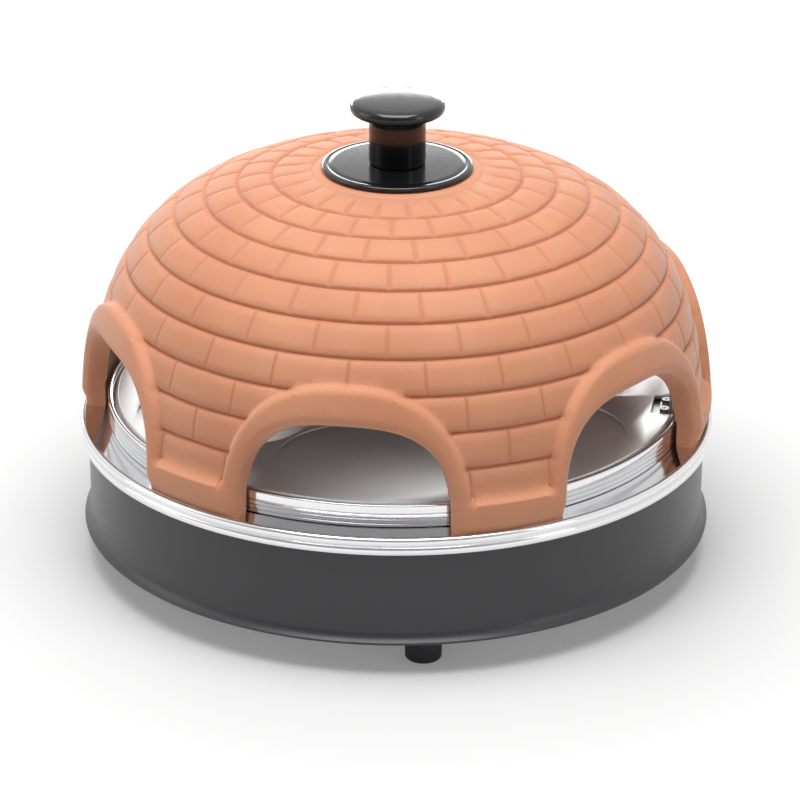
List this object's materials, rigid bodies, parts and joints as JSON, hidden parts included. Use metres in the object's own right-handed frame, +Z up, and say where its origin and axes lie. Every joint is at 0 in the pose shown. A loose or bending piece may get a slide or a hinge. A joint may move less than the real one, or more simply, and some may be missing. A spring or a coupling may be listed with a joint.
{
  "type": "electric pizza maker",
  "caption": "Round tabletop pizza maker: an arched terracotta brick dome with a black knob lifts off a steel-rimmed black heating base.",
  "frame": {"origin": "on the floor under the feet, at the centre of the round base", "axes": "+Z up along the dome's axis, -Y through the middle of the front arch, +X to the right; the switch and cord gland are on the +Y side"},
  "size_m": [0.3999, 0.4, 0.2947],
  "materials": {
    "terracotta": "matt, dry, faintly sandy",
    "black_shell": "satin black-grey paint",
    "polished_steel": "polished stainless sheet",
    "plate_steel": "polished stainless, slightly softened",
    "bare_steel": "plain zinc-plated",
    "heater_sheet": "aluminised sheet, satin",
    "element_steel": "dark oxidised sheath",
    "black_phenolic": "glossy black",
    "foot_rubber": "matt",
    "switch_plastic": "fine satin",
    "rocker_plastic": "smooth",
    "lens_amber": "clear tinted",
    "white_ceramic": "matt",
    "mineral_wool": "fibrous",
    "brass": "plain",
    "wire_sleeve": "silicone sleeve",
    "red_silicone": "soft",
    "lamp_glass": "clear",
    "glass_sleeve": "braided glass sleeve"
  },
  "bodies": {
    "base": {"base_housing": "black_shell", "bottom_cover": "bare_steel", "cover_screws": "bare_steel", "feet": "foot_rubber", "foot_screws": "bare_steel", "foot_nuts": "bare_steel", "rim_channel": "polished_steel", "plate_ring": "polished_steel", "ring_screws": "bare_steel", "heater_pan": "heater_sheet", "pan_screws": "bare_steel", "lower_element": "element_steel", "lower_clips": "bare_steel", "terminal_bushes": "white_ceramic", "insulation_pins": "bare_steel", "insulation_disc": "mineral_wool", "thermostat": "white_ceramic", "thermal_fuse": "white_ceramic", "terminal_block": "white_ceramic", "earth_tab": "brass", "inner_wiring": "wire_sleeve", "switch_body": "switch_plastic", "indicator_lens": "lens_amber", "indicator_lamp": "lamp_glass", "cord_gland": "switch_plastic", "gland_nut": "switch_plastic", "strap_front": "heater_sheet", "strap_right": "heater_sheet", "strap_rear": "heater_sheet", "strap_screws": "bare_steel", "upper_reflector": "heater_sheet", "upper_element": "element_steel", "upper_clips": "bare_steel", "lead_conduit": "white_ceramic", "upper_leads": "glass_sleeve", "baking_plate": "plate_steel"},
    "dome": {"dome": "terracotta", "knob_gasket": "red_silicone", "knob_flange": "black_phenolic", "knob": "black_phenolic", "knob_insert": "brass", "knob_bolt": "bare_steel", "knob_washer": "bare_steel"},
    "rocker": {"switch_rocker": "rocker_plastic"}
  },
  "joints": [
    {"name": "dome_lift", "type": "slide", "parent": "base", "child": "dome", "axis": [0, 0, 1], "range_m": [0, 0.15]},
    {"name": "rocker_tilt", "type": "hinge", "parent": "base", "child": "rocker", "pos_m": [0, 0.1905, 0.048], "axis": [1, 0, 0], "range_deg": [0, 16]}
  ]
}
